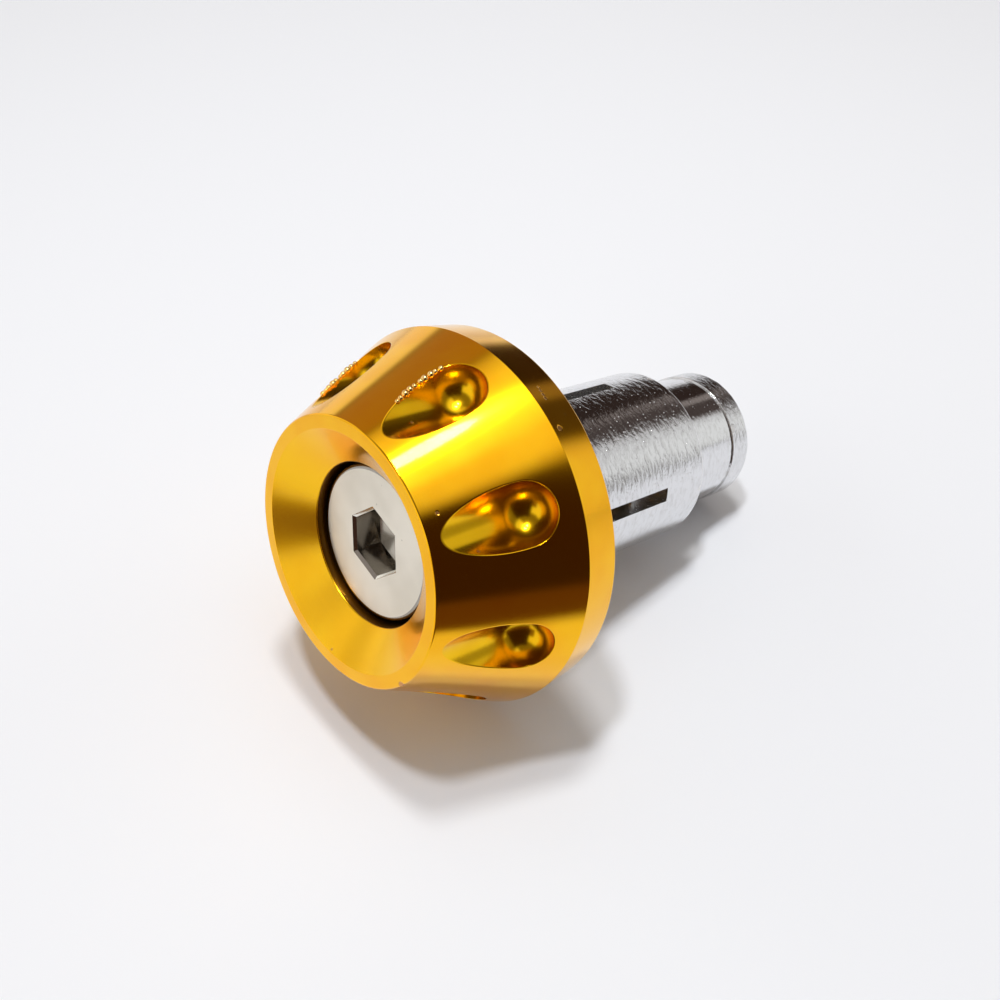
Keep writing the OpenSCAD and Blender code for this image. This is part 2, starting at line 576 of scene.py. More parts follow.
@dataclass(frozen=True)
class BrightPlating:
    """Bright zinc plating over turned steel, with a wrinkled skin."""

    name: str
    colour: Colour = (0.78, 0.785, 0.80)
    dull_colour: Colour = (0.56, 0.555, 0.55)
    dull_share: float = 0.45
    cloud_span: tuple[float, float] = (0.42, 0.72)
    roughness: float = 0.09
    grain_roughness: float = 0.10
    grain_middle: float = 0.4
    speck_roughness: float = 0.4
    peel_per_mm: float = 1.15
    peel_height: float = 0.056
    grain_share: float = 0.12
    specks_per_mm: float = 2.8
    speck_share: float = 0.40
    speck_height: float = 0.5
    speck_colour: Colour = (0.90, 0.90, 0.89)
    marks: tuple[Mark, ...] = ()

    def material(self, effects: SurfaceEffects) -> bpy.types.Material:
        """Returns the finish as a material."""
        material, g, shader = metal_material(self.name)
        peel = effects.place(g, effects.peel, Per_mm=self.peel_per_mm)
        height, grain = peel.outputs["Height"], peel.outputs["Grain"]
        specks = effects.place(g, effects.specks, Per_mm=self.specks_per_mm, Share=self.speck_share)
        chipped = g.math("MAXIMUM", specks, effects.marks(g, self.marks))
        dulled = g.math("MULTIPLY", g.ramp(height, *self.cloud_span), self.dull_share)
        tone = g.blend(dulled, self.colour, self.dull_colour)
        g.put(g.blend(chipped, tone, self.speck_colour), shader.inputs["Base Color"])
        least = self.roughness - self.grain_middle * self.grain_roughness
        rough = g.math("MULTIPLY_ADD", grain, self.grain_roughness, least)
        g.put(g.math("MULTIPLY_ADD", chipped, self.speck_roughness, rough), shader.inputs["Roughness"])
        skin = g.math("MULTIPLY_ADD", grain, self.grain_share, height)
        g.bump(g.math("MULTIPLY_ADD", chipped, self.speck_height, skin), self.peel_height, shader)
        return material


@dataclass(frozen=True)
class SatinNickel:
    """Warm satin nickel on the screw."""

    name: str
    colour: Colour = (0.80, 0.745, 0.64)
    dull_colour: Colour = (0.70, 0.65, 0.55)
    stain_colour: Colour = (0.45, 0.41, 0.34)
    stains_per_mm: float = 2.0
    stain_share: float = 0.05
    roughness: float = 0.30
    haze_roughness: float = 0.12
    haze_span: tuple[float, float] = (0.3, 0.75)
    lines_per_mm: float = 5.0
    line_height: float = 0.0015

    def material(self, effects: SurfaceEffects) -> bpy.types.Material:
        """Returns the finish as a material."""
        material, g, shader = metal_material(self.name)
        turned = effects.place(g, effects.turned, Lines_per_mm=self.lines_per_mm)
        stains = effects.place(g, effects.specks, Per_mm=self.stains_per_mm, Share=self.stain_share)
        haze = turned.outputs["Haze"]
        tone = g.blend(g.ramp(haze, *self.haze_span), self.colour, self.dull_colour)
        g.put(g.blend(stains, tone, self.stain_colour), shader.inputs["Base Color"])
        least = self.roughness - self.haze_roughness / 2
        g.put(g.math("MULTIPLY_ADD", haze, self.haze_roughness, least), shader.inputs["Roughness"])
        g.bump(turned.outputs["Height"], self.line_height, shader)
        return material


FINISHES = {
    "polished": GoldAnodising(
        "gold_polished",
        marks=(
            Mark((15.90, 0.88, 11.31), 0.30),
            Mark((15.78, -1.75, 11.72), 0.20),
            Mark((15.73, -2.10, 11.75), 0.20),
            Mark((15.67, -2.45, 11.78), 0.18),
            Mark((15.60, -2.80, 11.81), 0.16),
            Mark((11.25, 2.66, 1.19), 0.20),
            Mark((-1.30, 10.93, 0.0), 0.40),
        ),
    ),
    "dish": GoldAnodising(
        "gold_turned",
        colour=(1.0, 0.56, 0.012),
        deep_colour=(0.98, 0.52, 0.008),
        roughness=0.25,
        lines_per_mm=6.0,
        line_height=0.0022,
    ),
    "milled": GoldAnodising(
        "gold_milled",
        colour=(0.95, 0.56, 0.008),
        deep_colour=(0.87, 0.47, 0.005),
        seal=0.08,
        roughness=0.20,
        lines_per_mm=3.0,
        line_height=0.0012,
        speck_share=0.06,
    ),
    # Darkened gold for the counterbore, seat and hole: painted shade inside the recess, with a rougher
    # finish.
    "bore": GoldAnodising(
        "gold_bore", colour=(0.30, 0.13, 0.008), deep_colour=(0.22, 0.09, 0.005), roughness=0.38
    ),
    # Paler gold on the chatter beads: a painted highlight along the pocket edges.
    "burr": GoldAnodising(
        "gold_burr", colour=(1.0, 0.70, 0.26), deep_colour=(1.0, 0.62, 0.18), roughness=0.24
    ),
    "nickel": SatinNickel("nickel_satin"),
    # Darker nickel: painted shade in the hex socket and on the head's rounded edge, side and underside
    # inside the counterbore.
    "socket": SatinNickel(
        "nickel_socket",
        colour=(0.46, 0.43, 0.38),
        dull_colour=(0.34, 0.31, 0.27),
        roughness=0.16,
        line_height=0.001,
    ),
    # Paler nickel on the socket's lead chamfer: a painted highlight, with a smoother finish.
    "key_rim": SatinNickel(
        "nickel_rim", colour=(0.90, 0.88, 0.83), dull_colour=(0.80, 0.78, 0.72), roughness=0.14
    ),
    "sleeve": BrightPlating(
        "plating_sleeve", marks=(Mark((6.57, -4.56, 34.6), 0.4), Mark((4.76, 6.43, 34.63), 0.4))
    ),
    "cut": BrightPlating(
        "plating_cut", roughness=0.25, peel_per_mm=3.0, colour=(0.62, 0.62, 0.62)
    ),
    # Paler plating on the sleeve's rounded end, end face and the bore behind it: a painted highlight on
    # the end edge, with a rougher finish.
    "rim": BrightPlating(
        "plating_rim", colour=(0.92, 0.92, 0.93), dull_colour=(0.86, 0.86, 0.86), roughness=0.36
    ),
    "nut": BrightPlating(
        "plating_nut", roughness=0.08, peel_per_mm=1.5, peel_height=0.016, speck_share=0.34
    ),
    "collar": BrightPlating(
        "plating_collar",
        roughness=0.16,
        peel_per_mm=1.3,
        peel_height=0.066,
        marks=(Mark((5.86, 2.42, 42.11), 0.5),),
    ),
}


@dataclass(frozen=True)
class Role:
    """What a piece is called, its CAD node, its body, its record slot and its own finishes."""

    name: str
    node: str
    body: Body
    slot: Slot
    dress: tuple[str, ...]


class Piece:
    """A sub-assembly that is built as one mesh and stands for one CAD node."""

    role: ClassVar[Role]

    def shape(self, builder: MeshBuilder) -> None:
        """Adds the piece's faces.

        Args:
            builder: Where the faces go.
        """
        raise NotImplementedError

    def build(self, effects: SurfaceEffects) -> bpy.types.Object:
        """Builds and dresses the piece.

        Args:
            effects: The node groups that the finishes share.

        Returns:
            The piece.
        """
        builder = MeshBuilder(self.role.name)
        self.shape(builder)
        thing = builder.finish([FINISHES[key].material(effects) for key in self.role.dress])
        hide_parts(self.role.node)
        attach(thing, self.role.body.value)
        low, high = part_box(self.role.node)
        span = (low.z / MM, high.z / MM)
        told = (thing.name, len(builder.faces), self.role.node, *span)
        LOG.info("%s: %d faces, stands for %s, z %.1f to %.1f mm", *told)
        return thing


@dataclass
class Pocket:
    """A ball-ended pocket milled along the cone."""

    ball: float = 2.4
    floor: float = 11.45
    stop: float = 7.0
    middle: float = 5.4

    def nearest(self, p: Triple) -> Triple:
        """Returns the point of the cutter's path that lies nearest to p."""
        return (self.floor + self.ball, 0.0, min(p[2], self.stop))

    def gap(self, p: Triple) -> float:
        """Returns how far p lies inside the cutter's surface."""
        return self.ball - math.dist(p, self.nearest(p))

    def surface(self, p: Triple) -> Corner:
        """Returns the cut surface's point beyond p, seen from the cutter's path, and its normal."""
        c = self.nearest(p)
        out = unit(plus(p, c, -1.0))
        return plus(c, out, self.ball), (-out[0], -out[1], -out[2])


def turn_corner(corner: Corner, degrees: float) -> Corner:
    """Returns a corner turned about the axis."""
    a = math.radians(degrees)
    c, s = math.cos(a), math.sin(a)
    (px, py, pz), (nx, ny, nz) = corner
    return (px * c - py * s, px * s + py * c, pz), (nx * c - ny * s, nx * s + ny * c, nz)


@dataclass
class EndCap(Piece):
    """The dished, pocketed cap with its counterbore, hole and tapered spigot."""

    role = Role(
        "cap_body", "end_cap", Body.CAP, Slot.CAP, ("polished", "dish", "milled", "bore", "burr")
    )
    POLISHED, DISH, MILLED, BORE, BURR = range(5)

    cap_r: float = 16.0
    nose_r: float = 11.0
    cone_l: float = 10.6
    band_l: float = 3.3
    band_fall: float = 0.35
    lip_w: float = 1.1
    dish_depth: float = 2.3
    counterbore_r: float = 6.8
    seat_z: float = 7.95
    hole_r: float = 4.3
    spigot_r: float = 6.955
    spigot_tip_r: float = 5.897
    spigot_l: float = 6.0
    relief_r: float = 8.4
    relief_depth: float = 0.3
    nose_round: float = 0.22
    widest_round: float = 0.10
    rear_round: float = 0.22
    fine_round: float = 0.10
    bore_round: float = 0.14
    seat_round: float = 0.2
    spigot_round: float = 0.3
    pockets: int = 8
    side_steps: int = 40
    outer_rows: int = 7
    inner_rows: int = 16
    edge_rows: int = 4
    edge_round: float = 0.12
    row_growth: float = 1.3
    halvings: int = 40
    bead_r: float = 0.27
    bead_pitch: float = 0.50
    bead_side: float = -22.0
    bead_span: tuple[float, float] = (2.0, 8.6)
    pitch_wave: tuple[float, float] = (0.25, 5.3)
    size_wave: tuple[float, float] = (0.22, 3.1)
    bead_sunk: float = 0.10
    bead_rows: int = 6
    bead_columns: int = 10
    path_span: tuple[float, float] = (0.3, 10.4)
    path_steps: int = 400
    chattered: tuple[int, ...] = (4, 5, 6, 7)
    pocket: Pocket = field(default_factory=Pocket)

    @property
    def slope(self) -> float:
        """How much the cone widens for each millimetre of height."""
        return (self.cap_r - self.nose_r) / self.cone_l

    def cone_corner(self, degrees: float, z: float) -> Corner:
        """Returns the cone's point and normal at an angle and a height."""
        normal = unit((1.0, 0.0, -self.slope))
        return polar(self.nose_r + self.slope * z, degrees, z), polar(normal[0], degrees, normal[2])

    def outline(self) -> list[list[OutlinePoint]]:
        """Returns the turned outline from the cone's nose end round to its wide end, in four runs."""
        rear = self.cone_l + self.band_l
        lip = self.nose_r - self.lip_w
        lead = 1.0
        run = turned_outline(
            [
                (self.nose_r + self.slope * lead, lead, 0.0),
                (self.nose_r, 0.0, self.nose_round),
                (lip, 0.0, self.fine_round),
                (self.counterbore_r, self.dish_depth, self.bore_round),
                (self.counterbore_r, self.seat_z, self.seat_round),
                (self.hole_r, self.seat_z, self.fine_round),
                (self.hole_r, rear + self.spigot_l, self.fine_round),
                (self.spigot_tip_r, rear + self.spigot_l, self.spigot_round),
                (self.spigot_r, rear - self.relief_depth, self.fine_round),
                (self.relief_r, rear - self.relief_depth, self.fine_round),
                (self.relief_r, rear, self.fine_round),
                (self.cap_r - self.band_fall, rear, self.rear_round),
                (self.cap_r, self.cone_l, self.widest_round),
                (self.cap_r - self.slope * lead, self.cone_l - lead, 0.0),
            ]
        )[1:-1]
        dish_from = next(i for i, p in enumerate(run) if p.r <= lip)
        dish_to = next(i for i, p in enumerate(run) if p.r <= self.counterbore_r + CLOSE)
        bore_to = next(i for i, p in enumerate(run) if p.z > rear + self.spigot_l - 0.5)
        cuts = (0, dish_from, dish_to, bore_to, len(run) - 1)
        return [run[a : b + 1] for a, b in zip(cuts, cuts[1:])]

    def rim(self, degrees: float, z: float) -> float:
        """Returns the share of the way from the pocket's middle to a point of the cone at its edge.

        Args:
            degrees: The point's angle from the pocket's middle.
            z: The point's height.
        """
        inside, outside = 0.0, 1.0
        for _ in range(self.halvings):
            t = (inside + outside) / 2
            place = self.cone_corner(degrees * t, lerp(self.pocket.middle, z, t))[0]
            if self.pocket.gap(place) > 0:
                inside = t
            else:
                outside = t
        return inside

    def chattered_edge(self) -> list[Corner]:
        """Returns the cone's corners along one side of a pocket, from the nose to the wide end."""
        edge: list[Corner] = []
        for i in range(self.path_steps):
            z = lerp(*self.path_span, i / (self.path_steps - 1))
            t = self.rim(self.bead_side, z)
            edge.append(self.cone_corner(self.bead_side * t, lerp(self.pocket.middle, z, t)))
        return edge

    def add_beads(self, builder: MeshBuilder, turn: float) -> None:
        """Adds the beads that the chattering cutter threw up along one side of a pocket.

        Args:
            builder: Where the faces go.
            turn: The angle of the pocket's middle.
        """
        edge = self.chattered_edge()
        low, high = self.bead_span
        along, due = 0.0, 0.0

        def varied(size: float, wave: tuple[float, float]) -> float:
            """Returns a size that waves along the edge by a share and a rate."""
            return size * (1 + wave[0] * math.sin(along * wave[1] + turn))

        for (last, _), (place, out) in zip(edge, edge[1:]):
            along += math.dist(last, place)
            if along < due or not low < place[2] < high:
                continue
            due = along + varied(self.bead_pitch, self.pitch_wave)
            radius = varied(self.bead_r, self.size_wave)
            axis = unit(plus(out, self.pocket.surface(place)[1]))
            middle = plus(place, axis, -self.bead_sunk * radius)
            rows = []
            for j in range(self.bead_rows + 1):
                polar_angle = math.pi * j / self.bead_rows
                row = []
                for k in range(self.bead_columns):
                    degrees = FULL_TURN * k / self.bead_columns
                    n = polar(math.sin(polar_angle), degrees, math.cos(polar_angle))
                    row.append(turn_corner((plus(middle, n, radius), n), turn))
                rows.append(row)
            # The beads take the paler burr gold, a painted highlight.
            builder.grid(rows, self.BURR, closed=True)

    def sector(self, low: float, high: float) -> list[list[Corner]]:
        """Returns one pocket with the cone round it, as rows from the middle out to the sector's edge.

        Args:
            low: The height at which the cone starts.
            high: The height at which it ends.
        """
        half = FULL_TURN / self.pockets / 2
        n = self.side_steps
        ends = [(-half, low), (half, low), (half, high), (-half, high), (-half, low)]
        rim = [
            (lerp(a_0, a_1, i / n), lerp(z_0, z_1, i / n))
            for (a_0, z_0), (a_1, z_1) in zip(ends, ends[1:])
            for i in range(n)
        ]
        middle = self.pocket.surface((self.pocket.floor, 0.0, self.pocket.middle))
        spokes: list[list[Corner]] = []
        width = self.edge_round
        for angle, z in rim:
            inside = self.rim(angle, z)
            edge = self.cone_corner(angle * inside, lerp(self.pocket.middle, z, inside))[0]
            inner_share = max(0.0, 1 - width / math.dist(edge, middle[0]))
            inner = self.pocket.surface(mix(middle[0], edge, inner_share))
            reach = math.dist(edge, self.cone_corner(angle, z)[0])
            outer_t = inside + (1 - inside) * min(0.5, width / reach)
            outer = self.cone_corner(angle * outer_t, lerp(self.pocket.middle, z, outer_t))
            spoke = [
                self.pocket.surface(mix(middle[0], inner[0], i / self.inner_rows))
                for i in range(self.inner_rows)
            ]
            for i in range(self.edge_rows + 1):
                t = i / self.edge_rows
                place = mix(mix(inner[0], edge, t), mix(edge, outer[0], t), t)
                spoke.append((place, unit(mix(inner[1], outer[1], t))))
            for i in range(1, self.outer_rows + 1):
                t = lerp(outer_t, 1.0, (i / self.outer_rows) ** self.row_growth)
                spoke.append(self.cone_corner(angle * t, lerp(self.pocket.middle, z, t)))
            spokes.append(spoke)
        return [list(row) for row in zip(*spokes)]

    def shape(self, builder: MeshBuilder) -> None:
        """Adds the turned runs, the pockets with the cone between them, and the beads."""
        nose, dish, bore, rest = self.outline()
        columns = self.pockets * self.side_steps
        # The bore run takes the darkened gold, which paints shade inside the counterbore and the hole.
        runs = ((nose, self.POLISHED), (dish, self.DISH), (bore, self.BORE), (rest, self.POLISHED))
        for run, slot in runs:
            lathe(builder, run, columns, slot)
        rows = self.sector(nose[0].z, rest[-1].z)
        cut = self.inner_rows + self.edge_rows // 2
        for i in range(self.pockets):
            turn = FULL_TURN * (i + 0.5) / self.pockets
            turned = [[turn_corner(c, turn) for c in row] for row in rows]
            builder.grid(turned[: cut + 1], self.MILLED, closed=True)
            builder.grid(turned[cut:], self.POLISHED, closed=True)
            if i in self.chattered:
                self.add_beads(builder, turn)


@dataclass
class Thread:
    """A right-handed 60 degree thread, as radii over the angle and the height."""

    pitch: float = 1.25
    crest: float = 3.98
    root: float = 3.28
    flank_slope: float = 1.25
    root_flat: float = 0.125
    rows_per_turn: int = 10

    def radius(self, degrees: float, z: float, clearance: float = 0.0) -> float:
        """Returns the thread's radius at an angle and a height."""
        turn = (z / self.pitch - degrees / FULL_TURN) % 1.0
        flank = min(max(abs(2 * turn - 1) * self.flank_slope - self.root_flat, 0.0), 1.0)
        return lerp(self.root, self.crest, flank) + clearance

    def rows(
        self, radius: Callable[[float, float], float], span: Sequence[float], columns: int, facing: float
    ) -> list[list[Corner]]:
        """Returns the rows of a threaded surface.

        Args:
            radius: The radius at an angle and a height.
            span: The heights of the first and the last row.
            columns: The steps round the axis.
            facing: 1 for a thread on a shank, -1 for one in a hole.
        """
        rows = []
        small_z, small_a = 0.02, 1.0
        count = int((span[1] - span[0]) / self.pitch * self.rows_per_turn)
        for j in range(count + 1):
            z = lerp(span[0], span[1], j / count)
            row = []
            for i in range(columns):
                a = FULL_TURN * i / columns
                r = radius(a, z)
                by_z = (radius(a, z + small_z) - radius(a, z - small_z)) / (2 * small_z)
                width = 2 * math.radians(small_a) * r
                by_a = (radius(a + small_a, z) - radius(a - small_a, z)) / width
                c, s = math.cos(math.radians(a)), math.sin(math.radians(a))
                normal = unit((facing * (c + by_a * s), facing * (s - by_a * c), -facing * by_z))
                row.append((polar(r, a, z), normal))
            rows.append(row)
        return rows


@dataclass
class CapScrew(Piece):
    """The low-headed socket screw."""

    role = Role(
        "cap_screw_body", "cap_screw", Body.SCREW, Slot.SCREW, ("nickel", "socket", "key_rim")
    )
    NICKEL, SOCKET, KEY_RIM = range(3)

    face_z: float = 2.95
    seat_z: float = 7.95
    tip_z: float = 42.95
    head_r: float = 6.5
    face_r: float = 4.0
    face_round: float = 0.42
    key_af: float = 5.0
    key_turn: float = 15.2
    key_depth: float = 2.6
    key_edge: float = 0.24
    floor_depth: float = 1.1
    seat_round: float = 0.15
    tip_r: float = 3.1
    tip_slope: float = 0.9
    neck_l: float = 1.5
    columns: int = 96
    thread: Thread = field(default_factory=Thread)

    def key_corner(self, degrees: float, reach: float, z: float, normal: Triple) -> Corner:
        """Returns a corner on a hexagon about the axis.

        Args:
            degrees: The angle, from a corner of the hexagon.
            reach: The distance from the axis to the hexagon's flats.
            z: The height.
            normal: The corner's normal.
        """
        side = degrees % SIDE_ANGLE - SIDE_ANGLE / 2
        place = polar(reach / math.cos(math.radians(side)), degrees + self.key_turn, z)
        return place, normal

    def socket(self, builder: MeshBuilder) -> list[Corner]:
        """Adds the hexagon socket and returns the row of its mouth on the face.

        Args:
            builder: Where the faces go.
        """
        reach = self.key_af / 2
        floor = self.face_z + self.key_depth
        per_side = self.columns // SIDES
        for side in range(SIDES):
            facing = polar(1.0, SIDE_ANGLE * (side + 0.5) + self.key_turn, 0.0)
            wall = (-facing[0], -facing[1], 0.0)
            lead = unit((wall[0], wall[1], -1.0))
            sunk = math.atan2(self.floor_depth, reach)
            bottom = (wall[0] * math.sin(sunk), wall[1] * math.sin(sunk), -math.cos(sunk))
            angles = [SIDE_ANGLE * (side + i / per_side) for i in range(per_side + 1)]
            # The last corner belongs to this side, not to the next one
            angles[-1] -= 1e-9
            steps = [
                (reach + self.key_edge, self.face_z, lead),
                (reach, self.face_z + self.key_edge, lead),
                (reach, self.face_z + self.key_edge, wall),
                (reach, floor, wall),
                (reach, floor, bottom),
                (0.0, floor + self.floor_depth, bottom),
            ]
            rows = [[self.key_corner(a, far, z, n) for a in angles] for far, z, n in steps]
            # The lead chamfer takes the paler rim nickel, a painted highlight; the walls and floor take
            # the darker socket nickel, painted shade.
            for first, slot in ((0, self.KEY_RIM), (2, self.SOCKET), (4, self.SOCKET)):
                builder.grid(rows[first : first + 2], slot)
        rim = reach + self.key_edge
        down = (0.0, 0.0, -1.0)
        angles = [FULL_TURN * i / self.columns for i in range(self.columns)]
        return [self.key_corner(a, rim, self.face_z, down) for a in angles]

    def shank_radius(self, degrees: float, z: float) -> float:
        """Returns the radius of the threaded shank, plain under the head and pointed at the tip."""
        cut = smooth_step(self.seat_z + self.neck_l, self.seat_z + self.neck_l + 1.0, z)
        threaded = lerp(self.thread.crest, self.thread.radius(degrees, z), cut)
        return min(threaded, self.tip_r + (self.tip_z - z) * self.tip_slope)

    def shape(self, builder: MeshBuilder) -> None:
        """Adds the socket, the head, the threaded shank and its end."""
        mouth = self.socket(builder)
        head = turned_outline(
            [
                (self.face_r, self.face_z, 0.0),
                (self.head_r, self.face_z, self.face_round),
                (self.head_r, self.seat_z, self.seat_round),
                (self.thread.crest, self.seat_z, 0.0),
            ]
        )
        angles = [self.key_turn + FULL_TURN * i / self.columns for i in range(self.columns)]
        flat = [OutlinePoint(p.r, p.z, 0.0, -1.0) for p in head[:2]]
        rings = [[p.corner(a) for a in angles] for p in flat]
        builder.grid([mouth, *rings], self.NICKEL, closed=True)
        # The outline runs from the face outwards, so the solid lies to its left
        side = [OutlinePoint(p.r, p.z, -p.nr, -p.nz) for p in head[1:]]
        # The head's rounded edge, side and underside take the darker socket nickel, painted shade inside
        # the counterbore.
        builder.grid([[p.corner(a) for a in angles] for p in side], self.SOCKET, closed=True)
        span = (self.seat_z, self.tip_z)
        shank = self.thread.rows(self.shank_radius, span, self.columns // 2, 1.0)
        builder.grid(shank, self.NICKEL, closed=True)
        builder.face([(p, (0.0, 0.0, 1.0)) for p, _ in shank[-1]], self.NICKEL)


@dataclass
class ExpansionSleeve(Piece):
    """The sleeve whose slotted end the cap's taper spreads."""

    role = Role(
        "sleeve_body", "expansion_sleeve", Body.PLUG, Slot.SLEEVE, ("sleeve", "cut", "rim")
    )
    OUTSIDE, CUT, RIM = range(3)

    radius: float = 8.0
    bore_r: float = 6.2
    mouth_r: float = 6.9
    flare_l: float = 3.97
    start_z: float = 14.5
    end_z: float = 34.9
    slot_z: float = 29.7
    slot_w: float = 1.3
    slots: int = 4
    slot_turn: float = 48.8
    end_round: float = 0.22
    flare_round: float = 0.3
    mouth_round: float = 0.10
    bore_round: float = 0.12
    columns: int = 36
    gap_columns: int = 4

    def half_gap(self, r: float) -> float:
        """Returns the angle from a slot's middle to its wall at a radius."""
        return math.degrees(math.asin(self.slot_w / 2 / r))

    def outline(self) -> list[OutlinePoint]:
        """Returns the closed outline from the bore at the slots' end, by the mouth and the outside."""
        return turned_outline(
            [
                (self.bore_r, self.slot_z, 0.0),
                (self.bore_r, self.start_z + self.flare_l, self.flare_round),
                (self.mouth_r, self.start_z, self.mouth_round),
                (self.radius, self.start_z, self.end_round),
                (self.radius, self.slot_z, 0.0),
                (self.radius, self.end_z, self.end_round),
                (self.bore_r, self.end_z, self.bore_round),
            ],
            closed=True,
        )

    def add_bridge(self, builder: MeshBuilder, ring: Sequence[OutlinePoint], middle: float) -> None:
        """Adds the strip of the whole ring behind one slot, and the slot's end.

        Args:
            builder: Where the faces go.
            ring: The outline's points beyond the slot.
            middle: The angle of the slot's middle.
        """
        outer = next(i for i, p in enumerate(ring) if p.r > self.radius - CLOSE)
        edge = next(i for i, p in enumerate(ring) if i > outer and p.z > self.slot_z + 1)
        ends = [OutlinePoint(r, self.slot_z, 0.0, -1.0) for r in (self.bore_r, self.radius)]
        # The ring's end takes the paler rim plating, a painted highlight on the end edge.
        runs = ((ring[outer : edge + 1], self.OUTSIDE), (ring[edge:], self.RIM), (ends, self.CUT))
        for points, slot in runs:
            rows = []
            for p in points:
                half = self.half_gap(p.r)
                rows.append(arc(p, middle - half, middle + half, self.gap_columns))
            builder.grid(rows, slot)

    def shape(self, builder: MeshBuilder) -> None:
        """Adds the four slotted quarters, with the ring behind each slot."""
        # The solid lies to the left of the way from the bore by the mouth to the outside
        points = [OutlinePoint(p.r, p.z, -p.nr, -p.nz) for p in self.outline()]
        sector = FULL_TURN / self.slots
        outside = (i for i, p in enumerate(points) if p.r > self.radius - CLOSE)
        edge = next(i for i in outside if points[i].z > self.slot_z + 1)
        slotted = [p for p in points[:-1] if p.z <= self.slot_z + CLOSE]
        ring = [p for p in points if p.z >= self.slot_z - CLOSE]
        for k in range(self.slots):
            middle = self.slot_turn + k * sector
            rows = []
            for p in points:
                half = self.half_gap(p.r)
                rows.append(arc(p, middle + half, middle + sector - half, self.columns))
            builder.grid(rows[: edge + 1], self.OUTSIDE)
            # The rounded end, end face and bore behind it take the paler rim plating, a painted
            # highlight.
            builder.grid(rows[edge:], self.RIM)
            self.add_bridge(builder, ring, middle)
            for side in (-1.0, 1.0):
                facing = polar(1.0, middle - side * 90.0, 0.0)
                wall = [(polar(p.r, middle + side * self.half_gap(p.r), p.z), facing) for p in slotted]
                builder.face(wall, self.CUT)


@dataclass
class TailNut(Piece):
    """The barrel nut at the tail, with its collar and inner thread."""

    role = Role("tail_nut_body", "tail_nut", Body.PLUG, Slot.NUT, ("nut", "collar"))
    BARREL, COLLAR = range(2)

    barrel_r: float = 6.2
    start_z: float = 26.9
    end_z: float = 44.4
    collar_l: float = 2.6
    collar_step: float = 0.14
    tail_round: float = 0.40
    collar_round: float = 0.06
    corner_round: float = 0.02
    start_round: float = 0.15
    lead_r: float = 4.5
    clearance: float = 0.05
    columns: int = 96
    thread: Thread = field(default_factory=Thread)

    def hole_radius(self, degrees: float, z: float) -> float:
        """Returns the radius of the threaded hole, opened out at both ends."""
        lead = max(self.lead_r - (z - self.start_z), self.lead_r - (self.end_z - z))
        return max(self.thread.radius(degrees, z, self.clearance), lead)

    def shape(self, builder: MeshBuilder) -> None:
        """Adds the collar, the barrel and the threaded hole."""
        collar_z = self.end_z - self.collar_l
        collar_r = self.barrel_r + self.collar_step
        outline = turned_outline(
            [
                (self.lead_r, self.end_z, 0.0),
                (collar_r, self.end_z, self.tail_round),
                (collar_r, collar_z, self.collar_round),
                (self.barrel_r, collar_z, self.corner_round),
                (self.barrel_r, self.start_z, self.start_round),
                (self.lead_r, self.start_z, 0.0),
            ]
        )
        inner = (i for i, p in enumerate(outline) if p.r < collar_r - CLOSE and p.z < self.end_z - 1)
        step = next(inner)
        lathe(builder, outline[: step + 1], self.columns, self.COLLAR)
        lathe(builder, outline[step:], self.columns, self.BARREL)
        span = (self.start_z, self.end_z)
        hole = self.thread.rows(self.hole_radius, span, self.columns, -1.0)
        builder.grid(hole, self.BARREL, closed=True)


@dataclass
class PhotoView:
    """The photograph's view of the plug, and the table that the plug lies on there."""

    nose_right: float = -12.089
    nose_down: float = 4.164
    nose_ahead: float = 87.255
    axis_ahead: float = 39.937
    axis_up: float = 18.738
    land_turn: float = 61.37
    focal_share: float = 1.1318
    sensor: float = 36.0
    # The nearest and furthest that the camera sees, in metres
    clip: tuple[float, float] = (0.001, 10.0)
    look_down: float = 46.35
    rest_r: float = 15.65
    rest_z: float = 13.75

    def axes(self) -> Matrix:
        """Returns the rows' X, Y and Z directions as seen by the camera: right, down and ahead."""
        ahead, up = math.radians(self.axis_ahead), math.radians(self.axis_up)
        axis = Vector((math.cos(ahead) * math.cos(up), -math.cos(ahead) * math.sin(up), math.sin(ahead)))
        above = Vector((0.0, -1.0, 0.0))
        above = (above - above.dot(axis) * axis).normalized()
        beside = axis.cross(above)
        turn = math.radians(self.land_turn)
        x = math.cos(turn) * above + math.sin(turn) * beside
        return Matrix((x, axis.cross(x), axis))

    def place_camera(self) -> None:
        """Makes the scene's camera."""
        to_row = self.axes()
        nose = Vector((self.nose_right, self.nose_down, self.nose_ahead))
        right, down, ahead = (to_row @ Vector(v) for v in ((1, 0, 0), (0, 1, 0), (0, 0, 1)))
        data = bpy.data.cameras.new("photo_camera")
        data.sensor_width = self.sensor
        data.lens = self.sensor * self.focal_share
        data.clip_start, data.clip_end = self.clip
        turn = Matrix((right, -down, -ahead)).transposed()
        place = Matrix.Translation(-(to_row @ nose) * MM) @ turn.to_4x4()
        bpy.context.scene.camera = placed("photo_camera", data, place)

    def table_axes(self) -> tuple[Vector, Vector, Vector]:
        """Returns the table's right, far and up directions in the row frame."""
        to_row = self.axes()
        tilt = math.radians(self.look_down)
        down = to_row @ Vector((0.0, math.cos(tilt), math.sin(tilt)))
        right = to_row @ Vector((1.0, 0.0, 0.0))
        return right, (-down).cross(right), -down

    def table_point(self) -> Vector:
        """Returns the point of the table, in millimetres, where the rear edge of the band lies on it."""
        up = self.table_axes()[2]
        out = Vector((-up.x, -up.y, 0.0)).normalized()
        return Vector((0.0, 0.0, self.rest_z)) + out * self.rest_r


